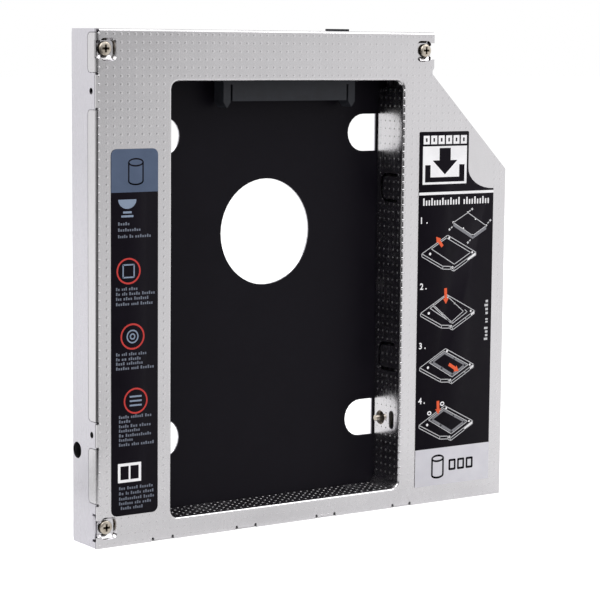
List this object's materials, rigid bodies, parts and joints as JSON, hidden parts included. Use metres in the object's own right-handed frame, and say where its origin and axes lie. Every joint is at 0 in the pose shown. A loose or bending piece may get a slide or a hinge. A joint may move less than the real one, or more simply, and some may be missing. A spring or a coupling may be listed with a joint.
{
  "type": "laptop drive caddy",
  "caption": "Flat metal tray in slim disc-drive form with an open bay, side wing with a cut corner and rear connectors, which holds a small drive in a laptop.",
  "frame": {"origin": "middle of the front edge that it stands on: bottom centre of the bounding box", "axes": "+Z from the front edge up to the rear connectors, +X across the width towards the wing with the cut corner, +Y from the open face of the bay through the thickness to the closed back"},
  "size_m": [0.128, 0.0126, 0.1278],
  "materials": {
    "dimpled_metal": "bright rolled sheet with embossed dimples",
    "plain_metal": "bright plain sheet",
    "black_film": "satin insulating film",
    "board_laminate": "green solder mask",
    "dark_plastic": "moulded dark grey plastic",
    "contact_gold": "gold-plated spring contacts",
    "screw_nickel": "nickel-plated steel",
    "label_black": "laminated sticker"
  },
  "bodies": {
    "root": {"adapter_board": "board_laminate", "board_screw_left": "screw_nickel", "board_screw_right": "screw_nickel", "cover_screw_front_left": "screw_nickel", "cover_screw_rear_left": "screw_nickel", "cover_screw_rear_right": "screw_nickel", "drive_lock_screw_left": "screw_nickel", "drive_lock_screw_right": "screw_nickel", "drive_receptacle": "dark_plastic", "guide_label": "label_black", "host_plug": "dark_plastic", "host_power_contact_1": "contact_gold", "host_power_contact_2": "contact_gold", "host_power_contact_3": "contact_gold", "host_power_contact_4": "contact_gold", "host_power_contact_5": "contact_gold", "host_power_contact_6": "contact_gold", "host_signal_contact_1": "contact_gold", "host_signal_contact_2": "contact_gold", "host_signal_contact_3": "contact_gold", "host_signal_contact_4": "contact_gold", "host_signal_contact_5": "contact_gold", "host_signal_contact_6": "contact_gold", "host_signal_contact_7": "contact_gold", "insulating_film": "black_film", "left_label": "label_black", "lock_nut_left": "screw_nickel", "lock_nut_right": "screw_nickel", "lower_tray": "plain_metal", "power_contact_01": "contact_gold", "power_contact_02": "contact_gold", "power_contact_03": "contact_gold", "power_contact_04": "contact_gold", "power_contact_05": "contact_gold", "power_contact_06": "contact_gold", "power_contact_07": "contact_gold", "power_contact_08": "contact_gold", "power_contact_09": "contact_gold", "power_contact_10": "contact_gold", "power_contact_11": "contact_gold", "power_contact_12": "contact_gold", "power_contact_13": "contact_gold", "power_contact_14": "contact_gold", "power_contact_15": "contact_gold", "signal_contact_01": "contact_gold", "signal_contact_02": "contact_gold", "signal_contact_03": "contact_gold", "signal_contact_04": "contact_gold", "signal_contact_05": "contact_gold", "signal_contact_06": "contact_gold", "signal_contact_07": "contact_gold", "top_cover": "dimpled_metal"}
  },
  "joints": []
}
